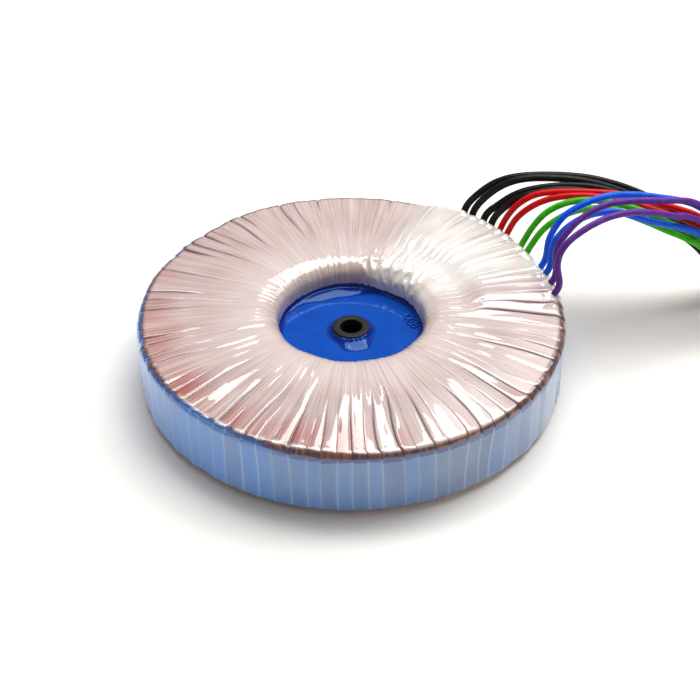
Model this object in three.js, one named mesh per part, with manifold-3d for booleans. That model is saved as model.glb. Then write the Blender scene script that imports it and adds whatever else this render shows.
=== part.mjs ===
// Low-profile toroidal mains transformer, in millimetres, +Z up.
//
// A wound strip-steel core carries two half primaries, insulating tape and four secondary banks.
// A blue film band goes round the outer side, and a clear film wrap covers everything. The centre
// hole is cast full of resin round a bush for one M6 bolt. Twelve insulated leads come out through
// the wrap at the top outer edge, arch over and lie on the surface that the transformer stands on.
//
// Origin: centre of the underside, on the axis. The leads leave towards +X.

import * as THREE from 'three';
import { mergeVertices } from 'three/addons/utils/BufferGeometryUtils.js';
import Module from 'manifold-3d';

const wasm = await Module();
wasm.setup();

// ---- Driving dimensions: the ring ----

const BODY_RADIUS = 65;
const BODY_HEIGHT = 24.6;
const HOLE_RADIUS = 22.3;
const RING_SEGMENTS = 36;
const GAP = 0.3;

// Seat and crown are flat rings next to the hole. Outside them both faces slope to the rim,
// because the wire crowds together towards the hole and spreads out towards the rim.
const FLAT_RING_WIDTH = 5.7;
const RIM_DROP = 1.2;

const WRAP_THICKNESS = 0.5;
const SECONDARY_BUILD = { inner: 3.0, outer: 1.1, face: 1.4 };
const TAPE_THICKNESS = 0.4;
const PRIMARY_BUILD = { inner: 3.2, outer: 1.2, face: 1.8 };
const BANK_GAP_DEGREES = 1.5;

const BAND_THICKNESS = 0.5;
const BAND_BOTTOM = 3.2;
const BAND_TOP = 21.4;

// The wrap bulges on top where the inner ends of the leads lie under it.
const BULGE_HEIGHT = 2.7;
const BULGE_RADII = [35, 42, 59.5, 64];
const BULGE_AZIMUTHS = [-5, 5, 60, 70];

const CORE_STRIP_THICKNESS = 0.3;

// ---- Driving dimensions: the centre ----

const RESIN_BOTTOM = 0.6;
const RESIN_TOP = 15.6;
const MENISCUS_HEIGHT = 1.0;
const MENISCUS_WIDTH = 1.8;
const COLLAR_HEIGHT = 1.3;
const COLLAR_WIDTH = 1.6;

const BUSH_BORE_RADIUS = 3.3;
const BUSH_RADIUS = 5.75;
const BUSH_TOP = 17.5;
const BUSH_CHAMFER = 0.4;

// ---- Driving dimensions: the leads ----

const LEAD_LENGTH = 200;
const STRIPPED_LENGTH = 8;
const BLACK_DIAMETER = 2.4;
const COLOUR_DIAMETER = 2.1;
const TINNED_DIAMETER = 1.2;
const TUBE_SIDES = 8;
const STEP_IN_DIAMETERS = 3;
const LEAD_CLEARANCE = 0.35;

// Every lead starts flat under the wrap, turns up and comes out through the rounded rim.
// Each pair is a radius and a height, in the vertical plane at the lead's own azimuth.
const LEAD_START = [[54.2, 24.3], [59.2, 24.3], [61.6, 25.4], [63.6, 28.4]];

// On the surface the leads lie side by side: straight along +X, then round one shared centre.
const LANE_PITCH = 2.9;
const FIRST_LANE_Y = 48;
const TURN_CENTRE = [150, -45];
const TURN_ANGLES = [0, 12, 24, 36, 48, 60, 72, 84];
const FLOOR_CLEARANCE = 0.05;

// arch: points from the rim to just above the surface. land: where along X the lead touches down.
// The leads are listed in the order of their lanes.
const LEADS = [
  { name: 'black_1', azimuth: 53.1, land: 136,
    arch: [[44.7, 50.8, 35.7], [49.3, 50.5, 38.5], [54, 50.1, 40], [63.7, 49.4, 41],
      [77.8, 48.4, 40.3], [93.8, 47.3, 35.4], [111.3, 46.2, 25], [124, 45.6, 12]] },
  { name: 'black_2', azimuth: 50.2, land: 135,
    arch: [[45.3, 48, 35], [50.1, 47.6, 38.8], [55.7, 47.2, 40.9], [65.4, 46.5, 41.6],
      [77.4, 45.6, 40.5], [93.4, 44.4, 35], [110.9, 43.2, 23.8], [123, 43, 11.4]] },
  { name: 'black_3', azimuth: 45.9, land: 134,
    arch: [[48, 45.2, 32.4], [51.7, 44.9, 35.6], [56.3, 44.5, 38.1], [66.3, 43.7, 40.4],
      [79.7, 42.7, 40.1], [94.6, 41.6, 34.2], [110.4, 40.5, 23.7], [122.5, 40, 11.2]] },
  { name: 'black_4', azimuth: 42.9, land: 133,
    arch: [[49.7, 42.3, 33.3], [52.7, 42.1, 36], [57, 41.7, 38.4], [66.6, 40.9, 40.8],
      [79.3, 39.9, 39.6], [94.4, 38.7, 32.6], [109.9, 37.5, 23.4], [121.5, 37, 11]] },
  { name: 'red_1', azimuth: 39.3, land: 142,
    arch: [[50.7, 39.7, 32.1], [53.4, 39.5, 36.1], [57.8, 39.1, 39.6], [62.5, 38.7, 41.1],
      [72.2, 37.9, 41.9], [85.1, 36.9, 41.5], [99.6, 35.7, 38.2], [111, 34.8, 34.4],
      [127, 36.8, 16.6]] },
  { name: 'red_2', azimuth: 36.3, land: 143,
    arch: [[53.2, 36.9, 32.8], [56.8, 36.5, 36.8], [61.4, 36.1, 39.8], [67.1, 35.6, 41.6],
      [75.9, 34.8, 42.2], [87.9, 33.7, 40.4], [99.2, 32.8, 37.1], [110.7, 31.8, 33],
      [127, 33.6, 16.2]] },
  { name: 'green_1', azimuth: 29.4, land: 139,
    arch: [[57.7, 31.4, 33.1], [61, 31.2, 38], [65.6, 31, 41.4], [71.2, 30.7, 43.2],
      [79.2, 30.2, 43.2], [90.8, 29.6, 40.1], [100.3, 29.1, 35.7], [110.4, 28.6, 30.9],
      [125, 31.2, 14]] },
  { name: 'green_2', azimuth: 26, land: 137,
    arch: [[60.2, 28.3, 33.5], [63.7, 28.1, 37.3], [68.3, 27.9, 40.5], [74.3, 27.6, 42.3],
      [81.1, 27.3, 42.1], [90.6, 27, 38.5], [100.1, 26.6, 34.2], [110.2, 26.2, 29.2],
      [123.5, 28.4, 13.6]] },
  { name: 'blue_1', azimuth: 17.8, land: 146,
    arch: [[61.4, 20.7, 35.1], [63.1, 21.2, 39.7], [65.7, 21.9, 43.4], [70, 22.9, 46.1],
      [76.4, 24.5, 48.2], [84.3, 26.4, 48.1], [95.9, 29, 45.5], [109.7, 32, 39.8],
      [130, 28.6, 21]] },
  { name: 'blue_2', azimuth: 14.2, land: 143,
    arch: [[62, 16.8, 35.4], [64.1, 17.3, 39.5], [67.5, 18, 42.9], [72.9, 19.1, 45.4],
      [80.7, 20.5, 45.7], [91, 22.4, 41.3], [100.8, 24.1, 37.9], [109.4, 25.6, 34.1],
      [126, 24, 16]] },
  { name: 'violet_1', azimuth: 9.6, land: 150,
    arch: [[62.9, 12.3, 38.3], [65.4, 13.4, 42.7], [69.5, 15.1, 46.7], [76.2, 17.7, 49.6],
      [83.2, 20.3, 49.5], [94.9, 24.5, 47.1], [108.8, 29.4, 42.5], [131, 23.8, 24.2]] },
  { name: 'violet_2', azimuth: 4.8, land: 148,
    arch: [[62.4, 6.2, 35.9], [63.1, 6.7, 40.2], [65.4, 7.8, 43.4], [69, 9.5, 45.7],
      [74.1, 11.9, 47.6], [80.8, 14.9, 48.4], [89.8, 18.8, 46.6], [99.2, 22.6, 42.9],
      [108.9, 26.4, 38.5], [129, 20, 20.4]] },
];

const COLOURS = {
  black: 0x1d1d1f,
  red: 0xc2141c,
  green: 0x1f8f22,
  blue: 0x1c50c8,
  violet: 0x5b2d84,
};

// ---- Small helpers ----

const radians = THREE.MathUtils.degToRad;

function material(color, roughness, metalness = 0) {
  return new THREE.MeshStandardMaterial({ color, roughness, metalness });
}

function namedMesh(name, geometry, finish) {
  const mesh = new THREE.Mesh(geometry, finish);
  mesh.name = name;
  return mesh;
}

function toSolid(geometry) {
  const bare = geometry.clone();
  bare.deleteAttribute('normal');
  bare.deleteAttribute('uv');
  const merged = mergeVertices(bare);
  const vertProperties = Float32Array.from(merged.attributes.position.array);
  const triVerts = Uint32Array.from(merged.index.array);
  return new wasm.Manifold(new wasm.Mesh({ numProp: 3, vertProperties, triVerts }));
}

function toGeometry(solid) {
  const mesh = solid.getMesh();
  const geometry = new THREE.BufferGeometry();
  geometry.setAttribute('position', new THREE.BufferAttribute(Float32Array.from(mesh.vertProperties), 3));
  geometry.setIndex(new THREE.BufferAttribute(Uint32Array.from(mesh.triVerts), 1));
  geometry.computeVertexNormals();
  return geometry;
}

// A closed profile of radius and height, turned round the Z axis.
function turned(profile, segments = RING_SEGMENTS) {
  const points = profile.map(([radius, height]) => new THREE.Vector2(radius, height));
  points.push(points[0].clone());
  return new THREE.LatheGeometry(points, segments).rotateX(Math.PI / 2);
}

function smoothStep(low, high, value) {
  return THREE.MathUtils.smoothstep(value, low, high);
}

// A rounded corner of a section: a quarter circle inside the sharp corner, starting at an angle and
// turning anticlockwise. With no steps it is the sharp corner itself.
function corner(sharpR, sharpZ, radius, startDegrees, steps) {
  if (steps === 0) {
    return [[sharpR, sharpZ]];
  }
  const towards = radians(startDegrees + 45);
  const centreR = sharpR - radius * Math.sign(Math.cos(towards));
  const centreZ = sharpZ - radius * Math.sign(Math.sin(towards));
  const points = [];
  for (let i = 0; i <= steps; i += 1) {
    const angle = radians(startDegrees + (90 * i) / steps);
    points.push([centreR + radius * Math.cos(angle), centreZ + radius * Math.sin(angle)]);
  }
  return points;
}

// ---- The nested skins of the ring ----

// Each skin is a round-cornered section: hole side, outer side, bottom, top, corner radii and how
// far the faces fall from the crown to the rim.
function skinInside(skin, inner, outer, face, drop = skin.drop) {
  return {
    hole: skin.hole + inner,
    rim: skin.rim - outer,
    bottom: skin.bottom + face,
    top: skin.top - face,
    holeCorner: Math.max(skin.holeCorner - inner, 0.6),
    rimCorner: Math.max(skin.rimCorner - outer, 0.6),
    drop,
  };
}

function skinInsideAllRound(skin, distance) {
  return skinInside(skin, distance, distance, distance);
}

const wrapOuterSkin = {
  hole: HOLE_RADIUS,
  rim: BODY_RADIUS,
  bottom: 0,
  top: BODY_HEIGHT,
  holeCorner: 5,
  rimCorner: 1.8,
  drop: RIM_DROP,
};
const wrapInnerSkin = skinInsideAllRound(wrapOuterSkin, WRAP_THICKNESS);
const bandSpace = GAP + BAND_THICKNESS + GAP;
const secondaryOuterSkin = skinInside(wrapInnerSkin, GAP, bandSpace, GAP);
const secondaryInnerSkin = skinInside(secondaryOuterSkin, SECONDARY_BUILD.inner, SECONDARY_BUILD.outer,
  SECONDARY_BUILD.face, 0.8);
const tapeOuterSkin = skinInsideAllRound(secondaryInnerSkin, GAP);
const tapeInnerSkin = skinInsideAllRound(tapeOuterSkin, TAPE_THICKNESS);
const primaryOuterSkin = skinInsideAllRound(tapeInnerSkin, GAP);
const primaryInnerSkin = skinInside(primaryOuterSkin, PRIMARY_BUILD.inner, PRIMARY_BUILD.outer,
  PRIMARY_BUILD.face, 0);
const insulationOuterSkin = skinInsideAllRound(primaryInnerSkin, GAP);
const insulationInnerSkin = skinInsideAllRound(insulationOuterSkin, TAPE_THICKNESS);
const coreSkin = skinInsideAllRound(insulationInnerSkin, GAP);

// The section runs up the rim, in over the top, down the hole and out under the bottom.
function skinSection(skin, cornerSteps, topRadii = []) {
  const rimTop = skin.top - skin.drop;
  const rimBottom = skin.bottom + skin.drop;
  const flatEdge = skin.hole + skin.holeCorner + FLAT_RING_WIDTH;
  const slope = skin.drop / (skin.rim - skin.rimCorner - flatEdge);
  return [
    ...corner(skin.rim, rimBottom, skin.rimCorner, -90, cornerSteps),
    ...corner(skin.rim, rimTop, skin.rimCorner, 0, cornerSteps),
    ...topRadii.map((radius) => [radius, skin.top - slope * (radius - flatEdge)]),
    ...(skin.drop > 0 ? [[flatEdge, skin.top]] : []),
    ...corner(skin.hole, skin.top, skin.holeCorner, 90, cornerSteps),
    ...corner(skin.hole, skin.bottom, skin.holeCorner, 180, cornerSteps),
    ...(skin.drop > 0 ? [[flatEdge, skin.bottom]] : []),
  ];
}

// Lifts the top face where the leads lie under the wrap.
function raiseOverLeads(geometry) {
  const position = geometry.attributes.position;
  const [riseStart, riseEnd, fallStart, fallEnd] = BULGE_RADII;
  const [openStart, openEnd, closeStart, closeEnd] = BULGE_AZIMUTHS;
  for (let i = 0; i < position.count; i += 1) {
    const x = position.getX(i);
    const y = position.getY(i);
    const z = position.getZ(i);
    const radius = Math.hypot(x, y);
    const azimuth = THREE.MathUtils.radToDeg(Math.atan2(y, x));
    const across = smoothStep(riseStart, riseEnd, radius) * (1 - smoothStep(fallStart, fallEnd, radius));
    const around = smoothStep(openStart, openEnd, azimuth) * (1 - smoothStep(closeStart, closeEnd, azimuth));
    if (z > BODY_HEIGHT / 2) {
      position.setZ(i, z + BULGE_HEIGHT * across * around);
    }
  }
  return geometry;
}

function ringShell(outerSkin, innerSkin, cornerSteps = 0) {
  const outer = toSolid(turned(skinSection(outerSkin, cornerSteps)));
  const inner = toSolid(turned(skinSection(innerSkin, 0)));
  return outer.subtract(inner);
}

// A tall wedge round the Z axis, for cutting one bank out of a full ring.
function wedge(startDegrees, spanDegrees) {
  const reach = BODY_RADIUS * 1.5;
  const steps = Math.ceil(spanDegrees / 30);
  const shape = new THREE.Shape();
  shape.moveTo(0, 0);
  for (let i = 0; i <= steps; i += 1) {
    const angle = radians(startDegrees + (spanDegrees * i) / steps);
    shape.lineTo(reach * Math.cos(angle), reach * Math.sin(angle));
  }
  const prism = new THREE.ExtrudeGeometry(shape, { depth: 3 * BODY_HEIGHT, bevelEnabled: false });
  return toSolid(prism.translate(0, 0, -BODY_HEIGHT));
}

// ---- Lead routes and tubes ----

function leadRadius(lead) {
  return (lead.name.startsWith('black') ? BLACK_DIAMETER : COLOUR_DIAMETER) / 2;
}

function startPoints(lead) {
  const angle = radians(lead.azimuth);
  return LEAD_START.map(([radius, height]) => [radius * Math.cos(angle), radius * Math.sin(angle), height]);
}

function floorPoints(lead, lane) {
  const laneY = FIRST_LANE_Y - LANE_PITCH * lane;
  const height = leadRadius(lead) + FLOOR_CLEARANCE;
  const turnRadius = laneY - TURN_CENTRE[1];
  const turn = TURN_ANGLES.map((degrees) => [
    TURN_CENTRE[0] + turnRadius * Math.sin(radians(degrees)),
    TURN_CENTRE[1] + turnRadius * Math.cos(radians(degrees)),
    height,
  ]);
  return [
    [lead.land - 5, laneY, height + 1.9],
    [lead.land, laneY, height],
    ...turn.filter(([x]) => x > lead.land + 5),
  ];
}

// The whole route as one smooth curve, held up by the surface where it would dip below it.
function leadPoints(lead, lane, from, to, steps) {
  const knots = [...startPoints(lead), ...lead.arch, ...floorPoints(lead, lane)];
  const route = new THREE.CatmullRomCurve3(knots.map((knot) => new THREE.Vector3(...knot)), false, 'centripetal');
  route.arcLengthDivisions = 600;
  const total = route.getLength();
  const lowest = leadRadius(lead) + FLOOR_CLEARANCE;
  const points = [];
  for (let i = 0; i <= steps; i += 1) {
    const point = route.getPointAt((from + ((to - from) * i) / steps) / total);
    point.z = Math.max(point.z, lowest);
    points.push(point);
  }
  return points;
}

function tube(points, radius) {
  const outline = [];
  for (let i = 0; i < TUBE_SIDES; i += 1) {
    const angle = (2 * Math.PI * i) / TUBE_SIDES;
    outline.push(new THREE.Vector2(radius * Math.cos(angle), radius * Math.sin(angle)));
  }
  const extrudePath = new THREE.CatmullRomCurve3(points, false, 'centripetal');
  return new THREE.ExtrudeGeometry(new THREE.Shape(outline), { steps: points.length - 1, extrudePath });
}

function leadTube(lead, lane, growth = 0) {
  const radius = leadRadius(lead);
  const length = LEAD_LENGTH - STRIPPED_LENGTH;
  const steps = Math.round(length / (2 * radius * STEP_IN_DIAMETERS));
  return tube(leadPoints(lead, lane, 0, length, steps), radius + growth);
}

function tinnedEnd(lead, lane) {
  const from = LEAD_LENGTH - STRIPPED_LENGTH + GAP;
  return tube(leadPoints(lead, lane, from, LEAD_LENGTH, 2), TINNED_DIAMETER / 2);
}

// Every lead's own shape, grown all round, so that the wrap keeps clear of it.
function leadChannels() {
  const channels = LEADS.map((lead, lane) => toSolid(leadTube(lead, lane, LEAD_CLEARANCE)));
  return channels.reduce((all, channel) => all.add(channel));
}

// ---- Sub-parts ----

function core() {
  const turnPoint = (radius, i) => {
    const angle = (2 * Math.PI * i) / RING_SEGMENTS;
    return new THREE.Vector2(radius * Math.cos(angle), radius * Math.sin(angle));
  };
  const shape = new THREE.Shape();
  const hole = new THREE.Path();
  const outside = [];
  const inside = [];
  // The strip's outer end and inner end each leave a step of one strip thickness.
  for (let i = 0; i <= RING_SEGMENTS; i += 1) {
    const unwound = (CORE_STRIP_THICKNESS * i) / RING_SEGMENTS;
    outside.push(turnPoint(coreSkin.rim - unwound, i));
    inside.push(turnPoint(coreSkin.hole + CORE_STRIP_THICKNESS - unwound, i));
  }
  shape.setFromPoints(outside);
  hole.setFromPoints(inside);
  shape.holes.push(hole);
  const depth = coreSkin.top - coreSkin.bottom;
  const ring = new THREE.ExtrudeGeometry(shape, { depth, bevelEnabled: false });
  return namedMesh('core', ring.translate(0, 0, coreSkin.bottom), material(0x6b6e72, 0.45, 0.9));
}

// Both tapes are open along one narrow slot, where the tape begins and ends.
function coreInsulation() {
  const shell = ringShell(insulationOuterSkin, insulationInnerSkin);
  const slotted = shell.subtract(wedge(200, BANK_GAP_DEGREES));
  return namedMesh('core_insulation', toGeometry(slotted), material(0xd9c77a, 0.5));
}

function interwindingTape() {
  const shell = ringShell(tapeOuterSkin, tapeInnerSkin);
  const slotted = shell.subtract(wedge(250, BANK_GAP_DEGREES));
  return namedMesh('interwinding_tape', toGeometry(slotted), material(0xe6d27a, 0.4));
}

function windingBanks(name, shell, count, finish, firstStart) {
  const span = 360 / count;
  const banks = [];
  for (let i = 0; i < count; i += 1) {
    const bank = shell.intersect(wedge(firstStart + span * i, span - BANK_GAP_DEGREES));
    banks.push(namedMesh(`${name}_${i + 1}`, toGeometry(bank), finish));
  }
  return banks;
}

function primaryWindings() {
  const shell = ringShell(primaryOuterSkin, primaryInnerSkin);
  return windingBanks('primary_winding', shell, 2, material(0xa4552c, 0.35, 0.8), 90);
}

function secondaryWindings() {
  const shell = ringShell(secondaryOuterSkin, secondaryInnerSkin, 2);
  return windingBanks('secondary_winding', shell, 4, material(0xb96a45, 0.35, 0.8), 75);
}

function edgeBand() {
  const outer = BODY_RADIUS - WRAP_THICKNESS - GAP;
  const inner = outer - BAND_THICKNESS;
  const section = [[outer, BAND_BOTTOM], [outer, BAND_TOP], [inner, BAND_TOP], [inner, BAND_BOTTOM]];
  return namedMesh('edge_band', turned(section), material(0x3f74c4, 0.4));
}

function outerWrap() {
  const outerTopRadii = [61.5, 59.5, 50, 42, 38];
  const innerTopRadii = [61.5, 59.5, 42, 38];
  const outer = toSolid(raiseOverLeads(turned(skinSection(wrapOuterSkin, 3, outerTopRadii))));
  const inner = toSolid(raiseOverLeads(turned(skinSection(wrapInnerSkin, 2, innerTopRadii))));
  const shell = outer.subtract(inner).subtract(leadChannels());
  return namedMesh('outer_wrap', toGeometry(shell), material(0xe6c9c0, 0.2));
}

// The resin creeps up the wall of the hole and up the bush in two rounded fillets.
function potting() {
  const wall = HOLE_RADIUS - GAP;
  const bush = BUSH_RADIUS + GAP;
  const section = [
    [bush, RESIN_BOTTOM],
    [wall, RESIN_BOTTOM],
    [wall, RESIN_TOP + MENISCUS_HEIGHT],
    [wall - MENISCUS_WIDTH * 0.35, RESIN_TOP + MENISCUS_HEIGHT * 0.4],
    [wall - MENISCUS_WIDTH, RESIN_TOP],
    [bush + COLLAR_WIDTH, RESIN_TOP],
    [bush + COLLAR_WIDTH * 0.4, RESIN_TOP + COLLAR_HEIGHT * 0.5],
    [bush, RESIN_TOP + COLLAR_HEIGHT],
  ];
  return namedMesh('potting', turned(section), material(0x1250b8, 0.12));
}

function centreBush() {
  const section = [
    [BUSH_BORE_RADIUS, 0],
    [BUSH_RADIUS, 0],
    [BUSH_RADIUS, BUSH_TOP - BUSH_CHAMFER],
    [BUSH_RADIUS - BUSH_CHAMFER, BUSH_TOP],
    [BUSH_BORE_RADIUS + BUSH_CHAMFER, BUSH_TOP],
    [BUSH_BORE_RADIUS, BUSH_TOP - BUSH_CHAMFER],
  ];
  return namedMesh('centre_bush', turned(section, 24), material(0x232427, 0.5));
}

function leads() {
  return LEADS.flatMap((lead, lane) => {
    const colour = COLOURS[lead.name.split('_')[0]];
    return [
      namedMesh(`lead_${lead.name}`, leadTube(lead, lane), material(colour, 0.35)),
      namedMesh(`tinned_end_${lead.name}`, tinnedEnd(lead, lane), material(0xc9ccd0, 0.3, 1)),
    ];
  });
}

// ---- Assembly ----

const transformer = new THREE.Group();
transformer.add(
  core(),
  coreInsulation(),
  ...primaryWindings(),
  interwindingTape(),
  ...secondaryWindings(),
  edgeBand(),
  outerWrap(),
  potting(),
  centreBush(),
  ...leads(),
);

export default transformer;
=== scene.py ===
"""Looks of a low-profile toroidal mains transformer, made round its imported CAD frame.

A clear film wound in narrow strips covers copper windings and a blue edge band, blue resin fills the
centre round a bush, and twelve insulated leads arch out over the rim. Blender 4.5, metres, +Z up.
"""

import math
from types import SimpleNamespace

import bpy
import numpy as np
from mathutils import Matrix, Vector


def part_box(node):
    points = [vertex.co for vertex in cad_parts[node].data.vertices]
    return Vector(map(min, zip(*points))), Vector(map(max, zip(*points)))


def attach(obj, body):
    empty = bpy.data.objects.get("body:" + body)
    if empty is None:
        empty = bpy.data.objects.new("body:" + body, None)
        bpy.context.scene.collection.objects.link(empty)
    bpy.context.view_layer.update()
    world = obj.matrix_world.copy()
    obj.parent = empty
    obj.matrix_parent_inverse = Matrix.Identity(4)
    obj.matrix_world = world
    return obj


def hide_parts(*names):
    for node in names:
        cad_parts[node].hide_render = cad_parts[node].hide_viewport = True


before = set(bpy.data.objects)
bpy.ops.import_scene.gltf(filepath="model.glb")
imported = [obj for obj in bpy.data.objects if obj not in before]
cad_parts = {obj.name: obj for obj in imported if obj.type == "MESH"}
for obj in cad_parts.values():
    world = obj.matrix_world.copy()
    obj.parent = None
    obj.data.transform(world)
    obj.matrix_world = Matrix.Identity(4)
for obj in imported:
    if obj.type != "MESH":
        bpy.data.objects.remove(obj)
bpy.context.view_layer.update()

MM = 0.001
BODY = "root"
RANDOM_SEED = 7

# ---- View and light ----

CAMERA_TARGET = Vector((-0.34, -5.0, 12.0)) * MM
CAMERA_ELEVATION = math.radians(38.53)
CAMERA_DISTANCE = 0.450
CAMERA_LENS_MM = 75.5
SENSOR_WIDTH_MM = 36

# Each light: its name, azimuth from +Y towards +X and elevation in degrees, size in metres, and watts.
LIGHTS = (
    ("softbox", 33, 67, (0.74, 0.74), 9.9),
    ("side_light", 58, 45, (0.5, 0.5), 2.8),
    ("left_light", -40, 67, (0.4, 0.3), 1.9),
)
LIGHT_DISTANCE = 1.1
WORLD_COLOUR = (1.0, 0.94, 0.88)
WORLD_STRENGTH = 0.34
FLOOR_SIZE = 6

# ---- Sizes of the ring, in millimetres, read from the frame where a node's box gives them ----

wrap_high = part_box("outer_wrap")[1]
resin_low, resin_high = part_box("potting")
bush_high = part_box("centre_bush")[1]
band_low, band_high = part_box("edge_band")

BODY_RADIUS = wrap_high.x / MM
BODY_HEIGHT = 24.6
HOLE_RADIUS = resin_high.x / MM + 0.3
RIM_DROP = 1.2
HOLE_CORNER = 5.0
RIM_CORNER = 2.2
FLAT_RING_WIDTH = 5.7
SHOULDER_DEPTH = 6.0
SHOULDER_POWER = 2.7
RESIN_TOP = 15.6
BAND_BOTTOM = band_low.z / MM
BAND_TOP = band_high.z / MM
BUSH_BORE_RADIUS = 3.3
BUSH_LIP = 0.45

BULGE_HEIGHT = 2.7
BULGE_RADII = (33, 42, 61.0, 65.4)
BULGE_AZIMUTHS = (-8, 8, 60, 72)

# ---- Leads, in millimetres: the CAD model's routes, a little further off the surface ----

# Each lead: its name, its azimuth in degrees, where along X it touches down, and the points of its arch.

LEAD_LENGTH = 200
STRIPPED_LENGTH = 8
BLACK_DIAMETER = 2.4
COLOUR_DIAMETER = 2.1
TINNED_DIAMETER = 1.2
LEAD_START = ((54.2, 24.3), (59.2, 24.3), (61.6, 25.4), (63.6, 28.4))
LANE_PITCH = 2.9
FIRST_LANE_Y = 48
TURN_CENTRE = (150, -45)
TURN_ANGLES = (0, 12, 24, 36, 48, 60, 72, 84)
FLOOR_CLEARANCE = 0.2

LEADS = [
    ("black_1", 53.1, 136, (
        (44.7, 50.8, 35.7), (49.3, 50.5, 38.5), (54, 50.1, 40), (63.7, 49.4, 41), (77.8, 48.4, 40.3),
        (93.8, 47.3, 35.4), (111.3, 46.2, 25), (124, 45.6, 12))),
    ("black_2", 50.2, 135, (
        (45.3, 48, 35), (50.1, 47.6, 38.8), (55.7, 47.2, 40.9), (65.4, 46.5, 41.6), (77.4, 45.6, 40.5),
        (93.4, 44.4, 35), (110.9, 43.2, 23.8), (123, 43, 11.4))),
    ("black_3", 45.9, 134, (
        (48, 45.2, 32.4), (51.7, 44.9, 35.6), (56.3, 44.5, 38.1), (66.3, 43.7, 40.4), (79.7, 42.7, 40.1),
        (94.6, 41.6, 34.2), (110.4, 40.5, 23.7), (122.5, 40, 11.2))),
    ("black_4", 42.9, 133, (
        (49.7, 42.3, 33.3), (52.7, 42.1, 36), (57, 41.7, 38.4), (66.6, 40.9, 40.8), (79.3, 39.9, 39.6),
        (94.4, 38.7, 32.6), (109.9, 37.5, 23.4), (121.5, 37, 11))),
    ("red_1", 39.3, 142, (
        (50.7, 39.7, 32.1), (53.4, 39.5, 36.1), (57.8, 39.1, 39.6), (62.5, 38.7, 41.1), (72.2, 37.9, 41.9),
        (85.1, 36.9, 41.5), (99.6, 35.7, 38.2), (111, 34.8, 34.4), (127, 36.8, 16.6))),
    ("red_2", 36.3, 143, (
        (53.2, 36.9, 32.8), (56.8, 36.5, 36.8), (61.4, 36.1, 39.8), (67.1, 35.6, 41.6), (75.9, 34.8, 42.2),
        (87.9, 33.7, 40.4), (99.2, 32.8, 37.1), (110.7, 31.8, 33), (127, 33.6, 16.2))),
    ("green_1", 29.4, 139, (
        (57.7, 31.4, 33.1), (61, 31.2, 38), (65.6, 31, 41.4), (71.2, 30.7, 43.2), (79.2, 30.2, 43.2),
        (90.8, 29.6, 40.1), (100.3, 29.1, 35.7), (110.4, 28.6, 30.9), (125, 31.2, 14))),
    ("green_2", 26, 137, (
        (60.2, 28.3, 33.5), (63.7, 28.1, 37.3), (68.3, 27.9, 40.5), (74.3, 27.6, 42.3), (81.1, 27.3, 42.1),
        (90.6, 27, 38.5), (100.1, 26.6, 34.2), (110.2, 26.2, 29.2), (123.5, 28.4, 13.6))),
    ("blue_1", 17.8, 146, (
        (61.4, 20.7, 35.1), (63.1, 21.2, 39.7), (65.7, 21.9, 43.4), (70, 22.9, 46.1), (76.4, 24.5, 48.2),
        (84.3, 26.4, 48.1), (95.9, 29, 45.5), (109.7, 32, 39.8), (130, 28.6, 21))),
    ("blue_2", 14.2, 143, (
        (62, 16.8, 35.4), (64.1, 17.3, 39.5), (67.5, 18, 42.9), (72.9, 19.1, 45.4), (80.7, 20.5, 45.7),
        (91, 22.4, 41.3), (100.8, 24.1, 37.9), (109.4, 25.6, 34.1), (126, 24, 16))),
    ("violet_1", 9.6, 150, (
        (62.9, 12.3, 38.3), (65.4, 13.4, 42.7), (69.5, 15.1, 46.7), (76.2, 17.7, 49.6), (83.2, 20.3, 49.5),
        (94.9, 24.5, 47.1), (108.8, 29.4, 42.5), (131, 23.8, 24.2))),
    ("violet_2", 4.8, 148, (
        (62.4, 6.2, 35.9), (63.1, 6.7, 40.2), (65.4, 7.8, 43.4), (69, 9.5, 45.7), (74.1, 11.9, 47.6),
        (80.8, 14.9, 48.4), (89.8, 18.8, 46.6), (99.2, 22.6, 42.9), (108.9, 26.4, 38.5), (129, 20, 20.4))),
]

# ---- The film, in millimetres ----

STRIP_COUNT = 87
# Where across its width each strip has points, as shares of the width: close together near its edges.
STRIP_STEPS = (0, 0.03, 0.07, 0.13, 0.22, 0.34, 0.47, 0.6, 0.73, 0.84, 0.92, 0.97)
LOWEST_FILM = 0.02


def linear(red, green, blue):
    """A colour given as 0 to 255 display values, as linear light with alpha."""
    def channel(value):
        value /= 255
        return value / 12.92 if value <= 0.04045 else ((value + 0.055) / 1.055) ** 2.4
    return (channel(red), channel(green), channel(blue), 1.0)


# ---- Node helpers ----


def put(tree, socket, value):
    if isinstance(value, bpy.types.NodeSocket):
        tree.links.new(value, socket)
    else:
        socket.default_value = value


def calculate(tree, operation, *values, clamp=False):
    node = tree.nodes.new("ShaderNodeMath")
    node.operation = operation
    node.use_clamp = clamp
    for socket, value in zip(node.inputs, values):
        put(tree, socket, value)
    return node.outputs[0]


def vector_math(tree, operation, first, second=None, scale=None):
    node = tree.nodes.new("ShaderNodeVectorMath")
    node.operation = operation
    put(tree, node.inputs[0], first)
    if second is not None:
        put(tree, node.inputs[1], second)
    if scale is not None:
        put(tree, node.inputs["Scale"], scale)
    return node.outputs["Value"] if operation == "LENGTH" else node.outputs[0]


def between(tree, value, low, high):
    """0 below low, 1 above high, and smooth between them. low may be above high."""
    node = tree.nodes.new("ShaderNodeMapRange")
    node.interpolation_type = "SMOOTHSTEP"
    put(tree, node.inputs["Value"], value)
    put(tree, node.inputs["From Min"], low)
    put(tree, node.inputs["From Max"], high)
    return node.outputs[0]


def mixed(tree, factor, first, second):
    node = tree.nodes.new("ShaderNodeMix")
    node.data_type = "RGBA"
    put(tree, node.inputs[0], factor)
    put(tree, node.inputs[6], first)
    put(tree, node.inputs[7], second)
    return node.outputs[2]


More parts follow.
